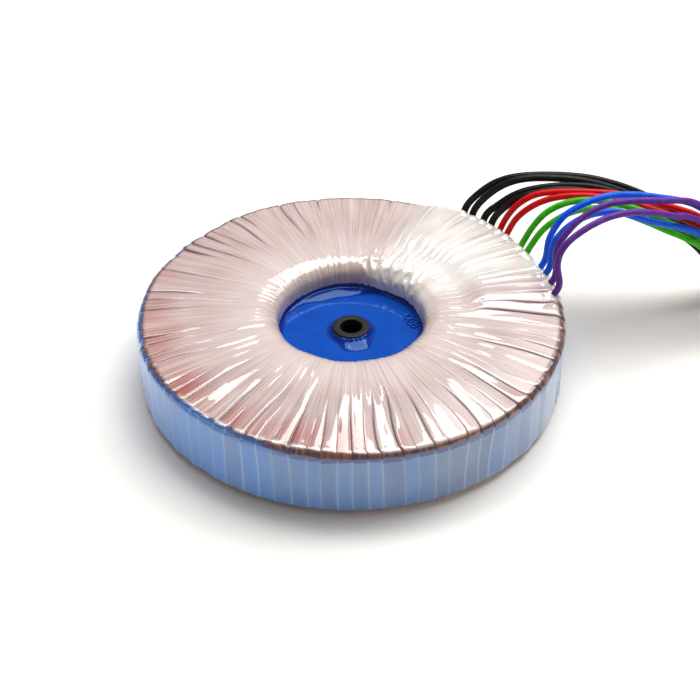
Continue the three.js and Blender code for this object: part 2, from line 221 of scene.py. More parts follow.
def noise(tree, vector, scale, detail=2.0, roughness=0.5):
    node = tree.nodes.new("ShaderNodeTexNoise")
    put(tree, node.inputs["Vector"], vector)
    put(tree, node.inputs["Scale"], scale)
    put(tree, node.inputs["Detail"], detail)
    put(tree, node.inputs["Roughness"], roughness)
    return node.outputs[0]


def attribute(tree, name):
    node = tree.nodes.new("ShaderNodeAttribute")
    node.attribute_name = name
    return node.outputs["Fac"]


def position(tree):
    return tree.nodes.new("ShaderNodeTexCoord").outputs["Object"]


def bump(tree, height, distance):
    node = tree.nodes.new("ShaderNodeBump")
    put(tree, node.inputs["Distance"], distance)
    put(tree, node.inputs["Height"], height)
    return node.outputs[0]


def principled(name, **constants):
    """A new material, its node tree and its shader, with plain values set on the shader's sockets."""
    material = bpy.data.materials.new(name)
    material.use_nodes = True
    tree = material.node_tree
    shader = tree.nodes["Principled BSDF"]
    for key, value in constants.items():
        shader.inputs[key.replace("_", " ")].default_value = value
    return material, tree, shader


def radial_coordinates(tree, per_turn, along_scale):
    """A vector that changes fast round the axis and slowly outwards, for streaks that follow the wires."""
    split = tree.nodes.new("ShaderNodeSeparateXYZ")
    put(tree, split.inputs[0], position(tree))
    flat = tree.nodes.new("ShaderNodeCombineXYZ")
    put(tree, flat.inputs[0], split.outputs[0])
    put(tree, flat.inputs[1], split.outputs[1])
    unit = vector_math(tree, "NORMALIZE", flat.outputs[0])
    round_axis = vector_math(tree, "SCALE", unit, scale=per_turn / (2 * math.pi))
    radius = vector_math(tree, "LENGTH", flat.outputs[0])
    down = calculate(tree, "SUBTRACT", radius, split.outputs[2])
    lift = tree.nodes.new("ShaderNodeCombineXYZ")
    put(tree, lift.inputs[2], calculate(tree, "MULTIPLY", down, along_scale))
    return vector_math(tree, "ADD", round_axis, lift.outputs[0])


# ---- Materials ----


def film_material():
    """Clear polyester film over copper wire and a blue band: their colours under a glossy coat."""
    material, tree, shader = principled("clear_film", Roughness=0.45, Coat_Weight=1.0,
                                        Coat_Roughness=0.05, Coat_IOR=1.75)
    split = tree.nodes.new("ShaderNodeSeparateXYZ")
    put(tree, split.inputs[0], position(tree))
    flat = vector_math(tree, "MULTIPLY", position(tree), (1, 1, 0))
    look = SimpleNamespace(height=split.outputs[2], radius=vector_math(tree, "LENGTH", flat))
    for name in ("veil", "milk", "band_rise", "redness", "tint", "edge", "crease"):
        setattr(look, name, attribute(tree, name))
    look.fine = noise(tree, radial_coordinates(tree, 900, 40), 1.0, 1.5, 0.6)
    look.medium = noise(tree, radial_coordinates(tree, 260, 30), 1.0, 2.0, 0.6)
    look.broad = noise(tree, radial_coordinates(tree, 46, 70), 1.0, 2.0, 0.5)

    top_colour = wires_under_film(tree, look)
    side, on_band = band_under_film(tree, look)
    colour = mixed(tree, on_band, top_colour, side)
    colour = mixed(tree, look.milk, colour, milky_film(tree, look))
    put(tree, shader.inputs["Base Color"], colour)

    wire_bump = calculate(tree, "MULTIPLY", calculate(tree, "ADD", look.fine, look.medium),
                          calculate(tree, "SUBTRACT", 1.0, on_band))
    wire_bump = calculate(tree, "MULTIPLY", wire_bump, calculate(
        tree, "SUBTRACT", 1.0, calculate(tree, "MULTIPLY", look.milk, 0.8)))
    put(tree, shader.inputs["Normal"], bump(tree, wire_bump, 0.2 * MM))
    return material


def wires_under_film(tree, look):
    """The copper through the film: hazy or red, with painted shade in creases, dark at the rim with a painted
    contact shadow on the bottom edge, pale in the hole.
    """
    wires = calculate(tree, "ADD", calculate(tree, "MULTIPLY", look.fine, 0.6),
                      calculate(tree, "MULTIPLY", look.medium, 0.4))
    hazy = mixed(tree, between(tree, wires, 0.36, 0.64), linear(182, 157, 154), linear(212, 191, 189))
    deep_copper = mixed(tree, between(tree, wires, 0.40, 0.5), linear(140, 22, 14), linear(180, 66, 50))
    copper = mixed(tree, between(tree, wires, 0.51, 0.62), deep_copper, linear(216, 164, 148))
    red_share = calculate(tree, "ADD", look.redness, calculate(tree, "MULTIPLY", calculate(
        tree, "SUBTRACT", look.broad, 0.5), 0.5), clamp=True)
    colour = mixed(tree, red_share, hazy, copper)
    colour = mixed(tree, look.veil, colour, linear(240, 228, 224))
    # Painted shade: the creases, and the gaps between the front strips, darkened to red-brown.
    colour = mixed(tree, look.crease, colour, linear(62, 26, 20))

    corner = mixed(tree, between(tree, look.medium, 0.35, 0.65), linear(52, 20, 20), linear(128, 76, 64))
    # Painted contact shadow: near black along the bottom edge, where the ring meets the floor.
    corner = mixed(tree, between(tree, look.height, 3.2 * MM, 2.2 * MM), corner, linear(28, 20, 20))
    colour = mixed(tree, attribute(tree, "corner"), colour, corner)

    inner_wall = mixed(tree, between(tree, look.fine, 0.3, 0.7), linear(170, 146, 138), linear(226, 210, 202))
    in_hole = between(tree, look.radius, 27.0 * MM, 24.2 * MM)
    return mixed(tree, in_hole, colour, inner_wall)


def band_under_film(tree, look):
    """The blue band's colour with its strip edges brightened partly by painted highlight, its dark upper line
    widening into painted shade towards the right front, and where it lies.
    """
    side = mixed(tree, look.tint, linear(70, 154, 250), linear(84, 112, 150))
    cloudy = calculate(tree, "MULTIPLY", between(tree, look.broad, 0.35, 0.7), 0.25)
    side = mixed(tree, cloudy, side, linear(134, 160, 194))
    # Dark blue along the top of the blue side: a dark line that widens into painted shade towards the right
    # front, where the greyer strips lower its start.
    top_line = calculate(tree, "ADD", 20.9 * MM, calculate(tree, "MULTIPLY", look.broad, 1.2 * MM))
    top_line = calculate(tree, "SUBTRACT", top_line, calculate(tree, "MULTIPLY", look.tint, 2.2 * MM))
    upper_line_and_shade = between(tree, look.height, top_line, calculate(tree, "ADD", top_line, 0.4 * MM))
    shade = calculate(tree, "SUBTRACT", 0.95, calculate(tree, "MULTIPLY", look.band_rise, 0.8))
    side = mixed(tree, calculate(tree, "MULTIPLY", upper_line_and_shade, shade), side, linear(8, 46, 132))
    # Strip edges whitened: partly the film's whiter overlap, partly a painted highlight.
    side = mixed(tree, calculate(tree, "MULTIPLY", look.edge, 0.62), side, linear(206, 224, 244))

    wobble = calculate(tree, "MULTIPLY", calculate(tree, "SUBTRACT", look.medium, 0.5), 0.9 * MM)
    wobbled = calculate(tree, "ADD", look.height, wobble)
    band_end = calculate(tree, "ADD", (BAND_TOP + 0.5) * MM,
                         calculate(tree, "MULTIPLY", look.band_rise, 1.5 * MM))
    near_end = between(tree, wobbled, calculate(tree, "SUBTRACT", band_end, 0.9 * MM),
                       calculate(tree, "SUBTRACT", band_end, 0.6 * MM))
    side = mixed(tree, calculate(tree, "MULTIPLY", near_end, 0.8), side, linear(24, 62, 132))
    below_top = between(tree, wobbled, band_end, calculate(tree, "SUBTRACT", band_end, 0.25 * MM))
    above_bottom = between(tree, wobbled, (BAND_BOTTOM - 1.6) * MM, (BAND_BOTTOM - 1.2) * MM)
    outside = between(tree, look.radius, 62.8 * MM, 63.3 * MM)
    return side, calculate(tree, "MULTIPLY", calculate(tree, "MULTIPLY", below_top, above_bottom), outside)


def milky_film(tree, look):
    """The whitish film over the leads, with a few wires showing through towards the rim."""
    cloud = mixed(tree, between(tree, look.broad, 0.3, 0.7), linear(222, 216, 210), linear(240, 237, 232))
    wire_lines = calculate(tree, "MULTIPLY", between(tree, look.medium, 0.5, 0.72),
                           between(tree, look.radius, 44 * MM, 57 * MM))
    return mixed(tree, calculate(tree, "MULTIPLY", wire_lines, 0.85), cloud, linear(178, 158, 154))


def resin_material():
    material, tree, shader = principled("blue_resin", Roughness=0.08, IOR=1.42,
                                        Specular_Tint=(0.4, 0.7, 1.0, 1.0))
    cloud = noise(tree, position(tree), 120.0, 3.0)
    colour = mixed(tree, between(tree, cloud, 0.3, 0.7), linear(4, 68, 166), linear(6, 75, 178))
    # Darker blue on the fillets up the wall and round the bush.
    colour = mixed(tree, attribute(tree, "darker_blue"), colour, linear(0, 34, 128))
    put(tree, shader.inputs["Base Color"], colour)
    put(tree, shader.inputs["Normal"], bump(tree, noise(tree, position(tree), 160.0, 1.0), 0.012 * MM))
    return material


def bush_material():
    material, tree, shader = principled("bush_plastic", Roughness=0.5, Specular_IOR_Level=0.25)
    grain = noise(tree, position(tree), 2600.0, 4.0)
    colour = mixed(tree, between(tree, grain, 0.35, 0.7), linear(14, 13, 12), linear(30, 28, 26))
    put(tree, shader.inputs["Base Color"], colour)
    put(tree, shader.inputs["Normal"], bump(tree, grain, 0.04 * MM))
    return material


def pvc_material(name, colour, highlight):
    """Semi-gloss insulation with faint die lines and handling marks."""
    material, tree, shader = principled(name, Specular_IOR_Level=0.2)
    marks = noise(tree, position(tree), 420.0, 4.0, 0.6)
    put(tree, shader.inputs["Base Color"], mixed(tree, between(tree, marks, 0.4, 0.75), colour, highlight))
    put(tree, shader.inputs["Roughness"], calculate(tree, "ADD", 0.28, calculate(
        tree, "MULTIPLY", marks, 0.18)))
    put(tree, shader.inputs["Normal"], bump(tree, noise(tree, position(tree), 1400.0, 3.0), 0.03 * MM))
    return material


def tinned_material():
    material, tree, shader = principled("tinned_copper", Metallic=1.0)
    patches = noise(tree, position(tree), 900.0, 4.0)
    colour = mixed(tree, between(tree, patches, 0.4, 0.7), linear(196, 198, 202), linear(150, 152, 158))
    put(tree, shader.inputs["Base Color"], colour)
    put(tree, shader.inputs["Roughness"], calculate(tree, "ADD", 0.2, calculate(
        tree, "MULTIPLY", patches, 0.3)))
    put(tree, shader.inputs["Normal"], bump(tree, patches, 0.05 * MM))
    return material


def copper_material(name, bright, dark, per_turn):
    """Enamelled wire laid side by side, which runs outwards from the hole."""
    material, tree, shader = principled(name, Roughness=0.34, Metallic=0.75, Coat_Weight=0.4)
    wires = noise(tree, radial_coordinates(tree, per_turn, 30), 1.0, 1.0)
    put(tree, shader.inputs["Base Color"], mixed(tree, between(tree, wires, 0.35, 0.6), dark, bright))
    put(tree, shader.inputs["Normal"], bump(tree, wires, 0.3 * MM))
    return material


def tape_material():
    """Yellow polyester tape, wound on with its overlaps showing as slightly darker lines."""
    material, tree, shader = principled("insulation_tape", Roughness=0.35, Coat_Weight=0.5)
    overlaps = noise(tree, radial_coordinates(tree, 90, 25), 1.0, 2.0)
    put(tree, shader.inputs["Base Color"], mixed(tree, between(tree, overlaps, 0.4, 0.6),
                                                 linear(206, 178, 92), linear(234, 214, 140)))
    put(tree, shader.inputs["Normal"], bump(tree, overlaps, 0.15 * MM))
    return material


def steel_material():
    """The edges of a wound steel strip: fine rings with a blue-grey anneal tint."""
    material, tree, shader = principled("core_steel", Roughness=0.4, Metallic=1.0)
    radius = vector_math(tree, "LENGTH", vector_math(tree, "MULTIPLY", position(tree), (1, 1, 0)))
    ring = tree.nodes.new("ShaderNodeCombineXYZ")
    put(tree, ring.inputs[0], radius)
    rings = noise(tree, ring.outputs[0], 3300.0, 2.0)
    put(tree, shader.inputs["Base Color"], mixed(tree, between(tree, rings, 0.35, 0.65),
                                                 linear(84, 88, 96), linear(150, 154, 160)))
    put(tree, shader.inputs["Normal"], bump(tree, rings, 0.1 * MM))
    return material


def band_material():
    material, tree, shader = principled("blue_film", Roughness=0.3, Coat_Weight=0.6)
    drift = noise(tree, radial_coordinates(tree, 60, 80), 1.0, 3.0)
    put(tree, shader.inputs["Base Color"], mixed(tree, between(tree, drift, 0.35, 0.65),
                                                 linear(40, 84, 176), linear(70, 118, 204)))
    put(tree, shader.inputs["Normal"], bump(tree, drift, 0.1 * MM))
    return material


# ---- Mesh helpers ----


def mesh_object(name, vertices, faces, material):
    mesh = bpy.data.meshes.new(name)
    mesh.from_pydata([tuple(vertex) for vertex in vertices], [], [tuple(face) for face in faces])
    mesh.materials.append(material)
    mesh.shade_smooth()
    piece = bpy.data.objects.new(name, mesh)
    bpy.context.scene.collection.objects.link(piece)
    return piece


def grid_faces(rows, columns, close_rows=False):
    """Quads of a grid whose vertices run row by row. The last column joins the first; the last row may."""
    faces = []
    for row in range(rows if close_rows else rows - 1):
        next_row = (row + 1) % rows
        for column in range(columns):
            next_column = (column + 1) % columns
            faces.append((row * columns + column, row * columns + next_column,
                          next_row * columns + next_column, next_row * columns + column))
    return faces


def add_attribute(piece, name, domain, values):
    data = piece.data.attributes.new(name, "FLOAT", domain)
    data.data.foreach_set("value", values.astype(np.float32).ravel())


def smooth_step(low, high, value):
    share = np.clip((value - low) / (high - low), 0, 1)
    return share * share * (3 - 2 * share)


def hump(value, middle, width, power=2):
    """1 at the middle, falling smoothly to 0 on both sides. A power of 4 gives it a flatter top."""
    return np.exp(-((value - middle) / width) ** power)


def towards(degrees, azimuth):
    """1 on the side of the ring at the azimuth, 0 on the opposite side."""
    return np.cos(np.radians(degrees - azimuth)) * 0.5 + 0.5


def wave_noise(generator, azimuth, along, low, high, count, twist):
    """Smooth noise round a ring: a sum of waves whose counts per turn are whole, so that it joins up."""
    total = np.zeros(np.broadcast(azimuth, along).shape)
    for _ in range(count):
        waves = generator.integers(low, high + 1)
        phase = generator.uniform(0, 2 * math.pi)
        turn = generator.normal(0, twist)
        total += np.cos(waves * azimuth + phase + turn * along)
    return total / math.sqrt(count / 2)


# ---- Film ----


def arc(centre_r, centre_z, radius, start, stop, steps):
    return [(centre_r + radius * math.cos(math.radians(start + (stop - start) * i / steps)),
             centre_z + radius * math.sin(math.radians(start + (stop - start) * i / steps)))
            for i in range(steps + 1)]


def film_section():
    """The ring's closed section: up the rim, in over the top, down the hole and out under the bottom."""
    rim_top = BODY_HEIGHT - RIM_DROP
    crown = HOLE_RADIUS + HOLE_CORNER + FLAT_RING_WIDTH
    edge = BODY_RADIUS - RIM_CORNER
    inside = HOLE_RADIUS + HOLE_CORNER

    def face_drop(radius):
        return RIM_DROP * max(0, (radius - crown) / (edge - crown)) ** 2.3

    points = arc(edge, RIM_DROP + RIM_CORNER, RIM_CORNER, -90, 0, 5)
    side_rows = 10
    side_low, side_high = RIM_DROP + RIM_CORNER, rim_top - RIM_CORNER
    points += [(BODY_RADIUS, side_low + (side_high - side_low) * i / side_rows) for i in range(1, side_rows)]
    points += arc(edge, rim_top - RIM_CORNER, RIM_CORNER, 0, 86, 7)
    top_rows = 36
    for i in range(1, top_rows):
        radius = edge + (crown - edge) * (i / top_rows) ** 1.2
        points.append((radius, BODY_HEIGHT - face_drop(radius)))
    shoulder_rows = 18
    for i in range(shoulder_rows + 1):
        angle = math.pi / 2 * i / shoulder_rows
        inward = math.sin(angle) ** (2 / SHOULDER_POWER)
        down = 1 - math.cos(angle) ** (2 / SHOULDER_POWER)
        points.append((crown - (crown - HOLE_RADIUS) * inward, BODY_HEIGHT - SHOULDER_DEPTH * down))
    wall_rows = 7
    wall_high = BODY_HEIGHT - SHOULDER_DEPTH
    points += [(HOLE_RADIUS, wall_high + (HOLE_CORNER - wall_high) * i / wall_rows)
               for i in range(1, wall_rows)]
    points += arc(inside, HOLE_CORNER, HOLE_CORNER, 180, 270, 5)
    under_rows = 7
    for i in range(1, under_rows):
        radius = inside + (edge - inside) * i / under_rows
        points.append((radius, face_drop(radius)))
    return np.array(points)


def section_normals(section):
    tangent = np.roll(section, -1, axis=0) - np.roll(section, 1, axis=0)
    tangent /= np.linalg.norm(tangent, axis=1)[:, None]
    return np.stack([tangent[:, 1], -tangent[:, 0]], axis=1)


def per_row(values):
    """Values of the section's rows, shaped to go with the film's grid."""
    return np.asarray(values)[:, None, None]


def per_strip(values):
    """Values of the strips, shaped to go with the film's grid."""
    return np.asarray(values)[None, :, None]


def film_grid(generator):
    """The film as a grid: rows round the section, strips round the axis, and steps across each strip."""
    section = film_section()
    normals = section_normals(section)
    radius = section[:, 0]
    along = np.concatenate([[0], np.cumsum(np.linalg.norm(np.diff(section, axis=0), axis=1))])
    turn = along / along[-1] * 2 * math.pi

    widths = generator.uniform(0.72, 1.28, STRIP_COUNT)
    edges = (np.concatenate([[0], np.cumsum(widths)]) * 2 * math.pi / widths.sum())[:-1]
    wander = 0.012 * wave_noise(generator, edges[None, :], turn[:, None], 1, 12, 10, 1.6)
    lone = generator.uniform(-0.009, 0.009, STRIP_COUNT)[None, :] * np.sin(
        turn[:, None] * 2 + generator.uniform(0, 6.28, STRIP_COUNT)[None, :])
    straight = (1 - 0.5 * smooth_step(62, 64.5, radius))[:, None]
    edge_azimuth = edges[None, :] + (wander + lone) * straight
    next_azimuth = np.roll(edge_azimuth, -1, axis=1)
    next_azimuth[:, -1] += 2 * math.pi

    share = np.array(STRIP_STEPS)[None, None, :]
    strip_turn = (next_azimuth - edge_azimuth)[:, :, None]
    azimuth = edge_azimuth[:, :, None] + strip_turn * share
    width = strip_turn * per_row(radius)
    return SimpleNamespace(
        radius=radius, height=section[:, 1], normals=normals, turn=turn, edges=edges,
        azimuth=azimuth, degrees=np.degrees((azimuth + math.pi) % (2 * math.pi) - math.pi),
        share=share, from_edge=share * width, to_edge=(1 - share) * width)


def film_regions(grid):
    """How far each point of the film lies in each of its regions, from 0 to 1."""
    radius, degrees, up = grid.radius, grid.degrees, grid.normals[:, 1]
    upward = per_row(up > 0)
    milky = (smooth_step(5, 24, degrees) * (1 - smooth_step(60, 74, degrees))
             * per_row(smooth_step(24, 28, radius)) * upward)
    across = smooth_step(BULGE_RADII[0], BULGE_RADII[1], radius) * (
        1 - smooth_step(BULGE_RADII[2], BULGE_RADII[3], radius))
    around = smooth_step(BULGE_AZIMUTHS[0], BULGE_AZIMUTHS[1], degrees) * (
        1 - smooth_step(BULGE_AZIMUTHS[2], BULGE_AZIMUTHS[3], degrees))
    ridges, collars = np.zeros_like(degrees), np.zeros_like(degrees)
    for _, lead_azimuth, _, _ in LEADS:
        offset = np.radians(degrees - lead_azimuth) * per_row(radius)
        ridges = np.maximum(ridges, hump(offset, 0, 1.5))
        collars = np.maximum(collars, hump(offset, 0, 2.8))
    crumpled = (smooth_step(20, 38, degrees) * (1 - smooth_step(72, 92, degrees))
                * per_row((radius < 33) * smooth_step(17, 19.5, grid.height)))
    return SimpleNamespace(
        upward=upward, on_top=(up > 0.35) * 1.0, under=per_row(up < -0.35),
        outer=smooth_step(34, 62, radius), wall=smooth_step(27, 24, radius),
        milky=milky, calm=1 - 0.8 * milky[:, :, 0], around=around, bulge=per_row(across) * around * upward,
        ridges=ridges, collars=collars, crumpled=crumpled,
        hem=per_row(smooth_step(59.5, 62.2, radius)) * per_row(up > 0.05),
        to_right=towards(degrees, 0))


def strip_lift(generator, grid, regions):
    """How far the strips stand off the section, and how deep their creases are at both edges."""
    outer, calm = regions.outer, regions.calm
    strip_degrees = np.degrees(grid.edges)[None, :]
    to_front = towards(strip_degrees, 285)
    to_left = smooth_step(0.55, 0.9, towards(strip_degrees, 190))
    rim_side = smooth_step(60, 64, grid.radius)
    tilt_size = (0.05 + 0.16 * outer * regions.on_top + 0.04 * rim_side)[:, None] * calm * (
        0.8 + 0.5 * to_front)

    # Strips tilt in pairs, and each a little on its own.
    pair = np.repeat(generator.normal(0, 1, STRIP_COUNT // 2 + 1), 2)[:STRIP_COUNT]
    tilt = (0.75 * pair + 0.6 * generator.normal(0, 1, STRIP_COUNT))[None, :] + 0.8 * np.sin(
        grid.turn[:, None] * generator.uniform(2, 5, STRIP_COUNT)[None, :]
        + generator.uniform(0, 6.28, STRIP_COUNT)[None, :])
    tilt = np.clip(tilt, -2, 2) * tilt_size

    # About half of the strips have a deep crease at their first edge, from the rim part of the way in.
    crease_reach = generator.uniform(32, 56, STRIP_COUNT)
    crease_depth = np.where(generator.uniform(0, 1, STRIP_COUNT) < 0.55,
                            generator.uniform(0.3, 0.7, STRIP_COUNT), generator.uniform(0, 0.12, STRIP_COUNT))
    reach = smooth_step(crease_reach[None, :], crease_reach[None, :] + 16, grid.radius[:, None])
    crease = crease_depth[None, :] * reach * regions.on_top[:, None] * calm
    edge_height = 0.15 * generator.normal(0, 1, STRIP_COUNT)[None, :] * (0.3 + 0.7 * outer)[:, None] * calm
    next_crease = np.roll(crease, -1, axis=1)
    next_height = np.roll(edge_height, -1, axis=1)

    spread = (0.24 + (0.06 + 0.34 * to_left) * outer[:, None])[:, :, None]
    overlap = per_row(0.10 * (1 - 0.5 * regions.wall))
    near_crease = crease[:, :, None] * np.exp(-grid.from_edge / spread)
    far_crease = 0.5 * next_crease[:, :, None] * np.exp(-grid.to_edge / 0.3)
    lift = (tilt[:, :, None] * (grid.share - 0.5)
            - overlap * (grid.share - 0.5)
            + edge_height[:, :, None] * (1 - grid.share) + next_height[:, :, None] * grid.share
            - near_crease
            - far_crease)
    return lift, near_crease + far_crease


def film_lift(generator, grid, regions, lift):
    """The strips' lift with the film's swells and ripples, and the crumpled part beside the hole."""
    turn, on_top = per_row(grid.turn), per_row(regions.on_top)
    lift = lift + 0.15 * wave_noise(generator, grid.azimuth, turn, 2, 9, 8, 1.5) * (0.4 + 0.6 * on_top)
    ripple = (0.022 + 0.022 * regions.to_right) * (0.3 + 0.7 * on_top) * (1 - 0.7 * regions.milky)
    lift += ripple * wave_noise(generator, grid.azimuth, turn, 40, 100, 12, 4)
    folds = np.abs(wave_noise(generator, grid.azimuth, turn, 14, 34, 6, 9))
    lift += regions.crumpled * (0.55 - 0.5 * np.minimum(folds, 1.3))
    lift = np.where(per_row(grid.radius < 31), np.maximum(lift, -0.12), lift)
    lift += 0.11 * (hump(grid.degrees, -115, 26) * per_row(hump(grid.radius, 62.6, 0.6))) * on_top
    return np.where(regions.under, -np.abs(lift), lift)


def film_points(generator, grid, regions, lift):
    """The film's points: the section moved along its normals, raised over the leads, with a ragged hem."""
    radius = per_row(grid.radius) + per_row(grid.normals[:, 0]) * lift
    height = per_row(grid.height) + per_row(grid.normals[:, 1]) * lift
    height = height + regions.bulge * (BULGE_HEIGHT + 0.4 * (regions.ridges - 0.5))
    ragged = np.clip(wave_noise(generator, grid.azimuth, per_row(grid.turn), 60, 160, 8, 2), -1.2, 1.6)
    height = (height + regions.hem * regions.collars * (0.5 + 0.25 * ragged)
              + regions.hem * regions.around * 0.3)
    height = np.maximum(height, LOWEST_FILM)
    return np.stack([radius * np.cos(grid.azimuth), radius * np.sin(grid.azimuth), height], axis=-1)


def film_colours(generator, grid, regions, creases):
    """How milky, red, creased and bright-edged each point is, which the film's material mixes by. The
    creases' darkness is painted shade; the bright edges, the folded rim edge and the front right's veils are
    partly painted highlight.
    """
    radius, degrees, turn = grid.radius, grid.degrees, per_row(grid.turn)
    spots = wave_noise(generator, grid.azimuth, turn, 3, 30, 10, 4)
    strip_veil = per_strip(generator.uniform(0.1, 1, STRIP_COUNT))
    # Whiter veils on the front right of the top: partly the film's own haze, partly a painted highlight.
    front_right_highlight = hump(degrees, -42, 34) * per_row(smooth_step(42, 56, radius))
    veil = 0.42 * per_row(smooth_step(48, 29, radius)) + 0.65 * strip_veil * front_right_highlight
    rim_veil = per_strip(generator.uniform(0, 0.4, STRIP_COUNT))
    veil += rim_veil * per_row(regions.outer) * (0.3 + 0.7 * regions.to_right)
    veil = np.clip(veil + 0.04 * spots, 0, 1)

    front_rim = hump(degrees, -66, 30, 4)
    corner = smooth_step(62.2 + 1.7 * front_rim, 63.6 + 0.9 * front_rim, per_row(radius))

    milk = np.clip(0.95 * regions.milky * (1 + 0.1 * spots) + regions.hem * regions.collars, 0, 1)
    beside_bulge = smooth_step(-20, 20, degrees) * (1 - smooth_step(66, 84, degrees))
    milk = np.maximum(milk, 0.85 * beside_bulge * per_row(regions.wall))
    milk = milk * (1 - 0.7 * per_row(smooth_step(61.8, 63.2, radius)))
    # Whiter folded film edge in dashes on the front-left rim: partly a painted highlight.
    folded_edge_highlight = (per_row(hump(radius, 63.0, 0.5)) * hump(degrees, -120, 21, 4)
                   * smooth_step(-0.5, 0.1, wave_noise(generator, grid.azimuth, turn, 40, 110, 6, 0)))
    milk = np.maximum(milk, folded_edge_highlight * regions.upward)

    near_rim = per_row(smooth_step(44, 61, radius))
    strip_red = per_strip(generator.uniform(-0.15, 0.55, STRIP_COUNT))
    vivid = per_strip(generator.uniform(0, 1, STRIP_COUNT) < 0.5) * (
        hump(degrees, -103, 34) + 0.7 * hump(degrees, 0, 14))
    vivid = vivid * np.exp(-grid.from_edge / 1.1)
    redness = near_rim * (0.02 + (0.34 + strip_red) * towards(degrees, -125) ** 2 + 1.0 * vivid)
    redness = np.clip(redness - 0.25 * (1 - near_rim), 0, 1)

    # edge: strip edges brightened, partly the whiter overlap of the film and partly a painted highlight,
    # stronger on some strips.
    glint = per_strip(generator.uniform(0.35, 1, STRIP_COUNT))
    edge = glint * np.exp(-grid.from_edge / 0.20) + 0.4 * np.exp(-grid.to_edge / 0.25)
    # crease: painted shade in the creases, plus painted shade between the front strips where they tilt away
    # from the light.
    shaded = hump(degrees, -95, 34) * per_row(smooth_step(36, 45, radius))
    crease = np.clip(creases / 0.5, 0, 1)
    crease = np.clip(crease + shaded * per_strip(generator.uniform(0, 0.24, STRIP_COUNT)), 0, 1)
    band_rise = smooth_step(-98, -118, degrees) + smooth_step(96, 130, degrees)
    return {"veil": veil, "milk": milk, "redness": redness, "band_rise": band_rise,
            "edge": edge, "crease": crease, "corner": corner}


def side_tints(generator, grid):
    """How grey the blue side is, one value for each strip."""
    middle = np.degrees(grid.edges)
    return np.clip(0.28 + 0.55 * np.cos(np.radians(middle + 40)) + 0.5 * hump(middle, 110, 50)
                   + generator.uniform(-0.13, 0.13, STRIP_COUNT), 0, 1)


def film(material):
    """The wrap's visible surface: strips that overlap, tilt, crease and gather towards the hole."""
    generator = np.random.default_rng(RANDOM_SEED)
    grid = film_grid(generator)
    regions = film_regions(grid)
    lift, creases = strip_lift(generator, grid, regions)
    lift = film_lift(generator, grid, regions, lift)
    points = film_points(generator, grid, regions, lift)

    rows, strips, steps = grid.azimuth.shape
    piece = mesh_object("clear_film_wrap", points.reshape(-1, 3) * MM,
                        grid_faces(rows, strips * steps, close_rows=True), material)
    for name, values in film_colours(generator, grid, regions, creases).items():
        add_attribute(piece, name, "POINT", np.broadcast_to(values, grid.azimuth.shape))
    tint = np.repeat(side_tints(generator, grid), steps)
    add_attribute(piece, "tint", "FACE", np.broadcast_to(tint, (rows, strips * steps)))

    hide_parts("outer_wrap")
    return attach(piece, BODY)


# ---- Resin and bush ----


def resin(material):
    """The casting in the hole: flat, with a wavy fillet up the wall and another up the bush."""
    generator = np.random.default_rng(RANDOM_SEED + 1)
    columns = 240
    azimuth = np.linspace(0, 2 * math.pi, columns, endpoint=False)
    wall = HOLE_RADIUS + 0.1
    bush_edge = bush_high.x / MM - 0.05
    degrees = np.degrees(azimuth)
    wide_part = hump(degrees, 105, 29, 4)
    back_part = hump(degrees, 95, 62, 4)
    wall_width = 1.1 + 3.5 * wide_part + 0.18 * wave_noise(generator, azimuth, 0, 2, 14, 8, 0)
    wall_width = np.clip(wall_width, 0.8, 6)
    wall_rise = 0.5 + 0.55 * wide_part + 0.08 * wave_noise(generator, azimuth, 0, 2, 18, 8, 0)
    lip_rise = 0.4 + 0.8 * back_part + 0.08 * wave_noise(generator, azimuth, 0, 2, 9, 8, 0)
    front_part = hump(degrees, 281, 36, 4)
    collar_width = 1.3 + 3.0 * front_part
    collar_rise = 1.4 + 0.06 * wave_noise(generator, azimuth, 0, 2, 9, 6, 0)
    bead_rise = 0.22 + 0.08 * wave_noise(generator, azimuth, 0, 10, 34, 8, 0)

    rings = []
    rings.append((np.full(columns, bush_edge), np.full(columns, resin_low.z / MM)))
    # How much darker blue each ring is: most on the wall's fillet and round the bush, none on the flat.
    darker_blue = [1.0]
    for i in range(15):
        share = (i / 14) ** 1.4
        bead = bead_rise * hump(collar_width * share, 0.45, 0.28)
        slope = collar_rise * (1 - share) ** (2 - 0.7 * front_part)
        rings.append((bush_edge + collar_width * share, RESIN_TOP + slope + bead))
        darker_blue.append(0.8)
    inner_edge, outer_edge = bush_edge + collar_width, wall - wall_width
    for i in range(1, 14):
        rings.append((inner_edge + (outer_edge - inner_edge) * i / 14, np.full(columns, RESIN_TOP)))
        darker_blue.append(0.0)
    for i in range(17):
        share = i / 16
        to_lip = np.clip(1 - wall_width * (1 - share) / 0.8, 0, 1)
        slope = wall_rise * share ** (1.5 - 0.4 * wide_part)
        rings.append((outer_edge + wall_width * share, RESIN_TOP + slope + lip_rise * to_lip ** 2))
        darker_blue.append(1.0)
    rings.append((np.full(columns, wall), np.full(columns, resin_low.z / MM)))
    darker_blue.append(1.0)

    vertices = []
    for ring_radius, ring_height in rings:
        vertices.append(np.stack([ring_radius * np.cos(azimuth), ring_radius * np.sin(azimuth),
                                  np.broadcast_to(ring_height, (columns,))], axis=-1))
    vertices = np.concatenate(vertices) * MM
    faces = [face[::-1] for face in grid_faces(len(rings), columns, close_rows=True)]
    piece = mesh_object("resin_casting", vertices, faces, material)
    add_attribute(piece, "darker_blue", "POINT", np.repeat(darker_blue, columns))
    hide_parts("potting")
    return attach(piece, BODY)


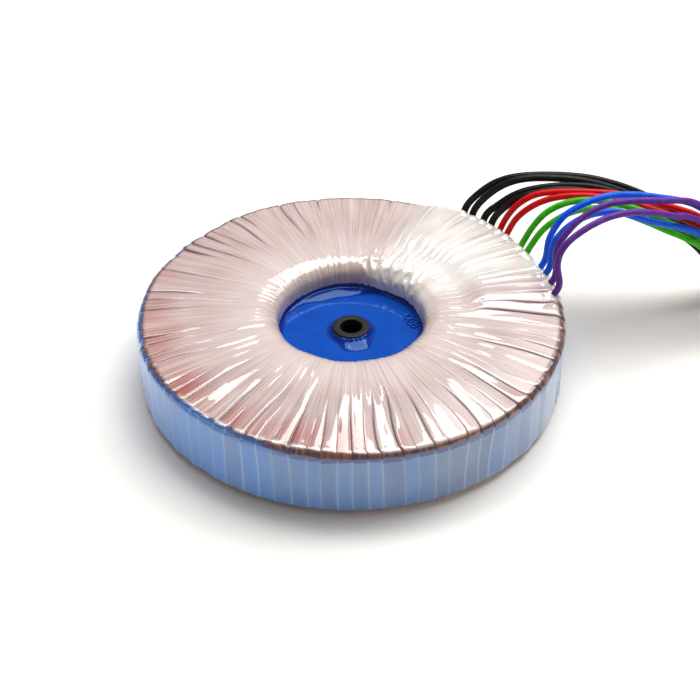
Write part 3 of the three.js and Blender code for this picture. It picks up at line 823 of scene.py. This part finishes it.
def bubble_cluster(material):
    """A few small burst bubbles that set at the edge of the resin."""
    bubbles = ((19.0, 20, 1.15), (20.6, 13, 1.0), (18.3, 12, 0.8), (19.4, 6.5, 0.9), (21.3, 19, 0.55),
               (17.4, 18, 0.5), (21.0, 7.5, 0.45))
    vertices, faces = [], []
    around, over = 20, 8
    for ring_radius, degrees, size in bubbles:
        centre = Vector((ring_radius * math.cos(math.radians(degrees)),
                         ring_radius * math.sin(math.radians(degrees)), RESIN_TOP))
        first = len(vertices)
        for i in range(over):
            angle = math.pi * i / (over - 1)
            ring = size * (1 + 0.3 * math.cos(angle))
            for j in range(around):
                turn = 2 * math.pi * j / around
                vertices.append((centre + Vector((ring * math.cos(turn), ring * math.sin(turn),
                                                  0.6 * size * math.sin(angle) - 0.05))) * MM)
        bubble_faces = grid_faces(over, around, close_rows=True)
        faces += [tuple(first + index for index in face) for face in bubble_faces]
    piece = mesh_object("resin_bubbles", vertices, faces, material)
    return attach(piece, BODY)


def bush(material):
    """The moulded bush: a tube with rounded mouths."""
    bore, outer, top, lip = BUSH_BORE_RADIUS, bush_high.x / MM, bush_high.z / MM, BUSH_LIP
    profile = [(bore, lip)]
    profile += arc(bore + lip, lip, lip, 180, 270, 4)[1:]
    profile += [(outer, 0)]
    profile += arc(outer - lip, top - lip, lip, 0, 90, 5)
    profile += arc(bore + lip, top - lip, lip, 90, 180, 5)
    columns = 96
    vertices = []
    for ring_radius, ring_height in profile:
        for i in range(columns):
            turn = 2 * math.pi * i / columns
            vertices.append(Vector((ring_radius * math.cos(turn), ring_radius * math.sin(turn),
                                    ring_height)) * MM)
    faces = grid_faces(len(profile), columns, close_rows=True)
    piece = mesh_object("moulded_bush", vertices, faces, material)
    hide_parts("centre_bush")
    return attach(piece, BODY)


# ---- Leads ----


def lead_diameter(name):
    return BLACK_DIAMETER if name.startswith("black") else COLOUR_DIAMETER


def lead_knots(name, azimuth, land, arch, lane):
    """The points that a lead passes through, in millimetres."""
    angle = math.radians(azimuth)
    knots = [Vector((radius * math.cos(angle), radius * math.sin(angle), height))
             for radius, height in LEAD_START]
    knots += [Vector(point) for point in arch]
    lane_y = FIRST_LANE_Y - LANE_PITCH * lane
    height = lead_diameter(name) / 2 + FLOOR_CLEARANCE
    knots += [Vector((land - 5, lane_y, height + 1.9)), Vector((land, lane_y, height))]
    turn_radius = lane_y - TURN_CENTRE[1]
    for degrees in TURN_ANGLES:
        turn = math.radians(degrees)
        point = Vector((TURN_CENTRE[0] + turn_radius * math.sin(turn),
                        TURN_CENTRE[1] + turn_radius * math.cos(turn), height))
        if point.x > land + 5:
            knots.append(point)
    return knots


def smooth_route(knots, per_span=24):
    """Points along the smooth curve through the knots: a centripetal Catmull-Rom curve."""
    points = []
    padded = [2 * knots[0] - knots[1]] + knots + [2 * knots[-1] - knots[-2]]
    for before, start, stop, after in zip(padded, padded[1:], padded[2:], padded[3:]):
        first, middle, last = ((b - a).length ** 0.5 for a, b in
                               ((before, start), (start, stop), (stop, after)))
        leave = ((start - before) / first - (stop - before) / (first + middle)
                 + (stop - start) / middle) * middle
        arrive = ((stop - start) / middle - (after - start) / (middle + last)
                  + (after - stop) / last) * middle
        for i in range(per_span):
            t = i / per_span
            points.append(start + leave * t + (3 * (stop - start) - 2 * leave - arrive) * t ** 2
                          + (2 * (start - stop) + leave + arrive) * t ** 3)
    points.append(knots[-1].copy())
    return points


def places_along(points, distances, lowest):
    """Points at the given distances along a line of points, never lower than lowest."""
    line = np.array([tuple(point) for point in points])
    travelled = np.concatenate([[0], np.cumsum(np.linalg.norm(np.diff(line, axis=0), axis=1))])
    found = np.stack([np.interp(distances, travelled, line[:, axis]) for axis in range(3)], axis=1)
    found[:, 2] = np.maximum(found[:, 2], lowest)
    return found


def lead(name, azimuth, land, arch, lane, material, tinned):
    """One insulated lead as a bezier curve, with its stripped and tinned end."""
    route = smooth_route(lead_knots(name, azimuth, land, arch, lane))
    diameter = lead_diameter(name)
    lowest = diameter / 2 + FLOOR_CLEARANCE
    insulated = LEAD_LENGTH - STRIPPED_LENGTH
    close = np.linspace(0, 36, 15)
    wide = np.linspace(36, insulated, 26)[1:]
    places = places_along(route, np.concatenate([close, wide]), lowest) * MM

    curve = bpy.data.curves.new(f"wire_{name}", "CURVE")
    curve.dimensions = "3D"
    curve.bevel_depth = diameter / 2 * MM
    curve.bevel_resolution = 5
    curve.resolution_u = 10
    curve.use_fill_caps = True
    spline = curve.splines.new("BEZIER")
    spline.bezier_points.add(len(places) - 1)
    for point, place in zip(spline.bezier_points, places):
        point.co = place
        point.handle_left_type = "AUTO"
        point.handle_right_type = "AUTO"
    curve.materials.append(material)
    wire = bpy.data.objects.new(f"wire_{name}", curve)
    bpy.context.scene.collection.objects.link(wire)
    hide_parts(f"lead_{name}")
    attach(wire, BODY)

    end_route = places_along(route, np.linspace(insulated - 0.6, LEAD_LENGTH, 24), lowest)
    end = tinned_end(name, end_route, tinned)


def tinned_end(name, route, material):
    """Seven strands under solder: a rod with seven soft flutes that twist along it."""
    strands, around = 7, 42
    length = np.linalg.norm(np.diff(route, axis=0), axis=1).sum()
    vertices = []
    direction = Vector(route[-1] - route[0]).normalized()
    side = direction.cross(Vector((0, 0, 1))).normalized()
    up = side.cross(direction)
    for i, centre in enumerate(route):
        share = i / (len(route) - 1)
        twist = 2 * math.pi * length * share / 14
        taper = 1 - 0.35 * max(0, share - 0.9) / 0.1
        for j in range(around):
            angle = 2 * math.pi * j / around
            flute = 0.93 + 0.07 * abs(math.cos(strands * (angle - twist) / 2))
            radius = TINNED_DIAMETER / 2 * flute * taper
            vertices.append((Vector(centre) + side * radius * math.cos(angle)
                             + up * radius * math.sin(angle)) * MM)
    faces = grid_faces(len(route), around)
    faces.append(tuple(range(around))[::-1])
    faces.append(tuple(range(len(vertices) - around, len(vertices))))
    piece = mesh_object(f"strands_{name}", vertices, faces, material)
    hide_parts(f"tinned_end_{name}")
    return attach(piece, BODY)


# ---- Camera, light and floor ----


def add_camera():
    data = bpy.data.cameras.new("camera")
    data.lens = CAMERA_LENS_MM
    data.sensor_width = SENSOR_WIDTH_MM
    data.clip_start = 0.01
    back = Vector((0, -math.cos(CAMERA_ELEVATION), math.sin(CAMERA_ELEVATION))) * CAMERA_DISTANCE
    camera = bpy.data.objects.new("camera", data)
    camera.location = CAMERA_TARGET + back
    camera.rotation_euler = back.to_track_quat("Z", "Y").to_euler()
    bpy.context.scene.collection.objects.link(camera)
    bpy.context.scene.camera = camera


def area_light(name, azimuth, elevation, size, power):
    """A rectangular light that faces the object."""
    azimuth, elevation = math.radians(azimuth), math.radians(elevation)
    data = bpy.data.lights.new(name, "AREA")
    data.shape = "RECTANGLE"
    data.size, data.size_y = size
    data.energy = power
    away = Vector((math.sin(azimuth) * math.cos(elevation), math.cos(azimuth) * math.cos(elevation),
                   math.sin(elevation)))
    light = bpy.data.objects.new(name, data)
    light.location = away * LIGHT_DISTANCE
    light.rotation_euler = away.to_track_quat("Z", "Y").to_euler()
    bpy.context.scene.collection.objects.link(light)


def add_world():
    world = bpy.data.worlds.new("studio")
    world.use_nodes = True
    background = world.node_tree.nodes["Background"]
    background.inputs["Color"].default_value = (*WORLD_COLOUR, 1)
    background.inputs["Strength"].default_value = WORLD_STRENGTH
    bpy.context.scene.world = world


def add_floor():
    half = FLOOR_SIZE / 2
    material, tree, shader = principled("floor_paper", Roughness=0.9)
    put(tree, shader.inputs["Base Color"], mixed(tree, noise(tree, position(tree), 8.0),
                                                 linear(252, 249, 244), linear(254, 252, 247)))
    corners = [(-half, -half, 0), (half, -half, 0), (half, half, 0), (-half, half, 0)]
    floor = mesh_object("floor", corners, [(0, 1, 2, 3)], material)


# ---- Make everything ----

bpy.context.scene.view_settings.view_transform = "Standard"
add_camera()

wire_colours = {
    "black": pvc_material("black_pvc", linear(16, 15, 15), linear(34, 32, 31)),
    "red": pvc_material("red_pvc", linear(204, 4, 12), linear(216, 18, 22)),
    "green": pvc_material("green_pvc", linear(56, 178, 16), linear(80, 198, 34)),
    "blue": pvc_material("blue_pvc", linear(14, 92, 232), linear(32, 112, 240)),
    "violet": pvc_material("violet_pvc", linear(92, 42, 146), linear(110, 62, 164)),
}
tinned = tinned_material()
for lane, (name, azimuth, land, arch) in enumerate(LEADS):
    lead(name, azimuth, land, arch, lane, wire_colours[name.split("_")[0]], tinned)

film(film_material())
resin_finish = resin_material()
resin(resin_finish)
bubble_cluster(resin_finish)
bush(bush_material())

tape = tape_material()
primary = copper_material("primary_copper", linear(196, 112, 70), linear(112, 52, 30), 900)
secondary = copper_material("secondary_copper", linear(212, 132, 98), linear(128, 62, 42), 600)
kept_finishes = {"core": steel_material(), "core_insulation": tape, "interwinding_tape": tape,
                 "edge_band": band_material()}
for number in (1, 2):
    kept_finishes[f"primary_winding_{number}"] = primary
for number in (1, 2, 3, 4):
    kept_finishes[f"secondary_winding_{number}"] = secondary
for node_name, finish in kept_finishes.items():
    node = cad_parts[node_name]
    node.data.materials.clear()
    node.data.materials.append(finish)

for light_settings in LIGHTS:
    area_light(*light_settings)
add_world()
add_floor()
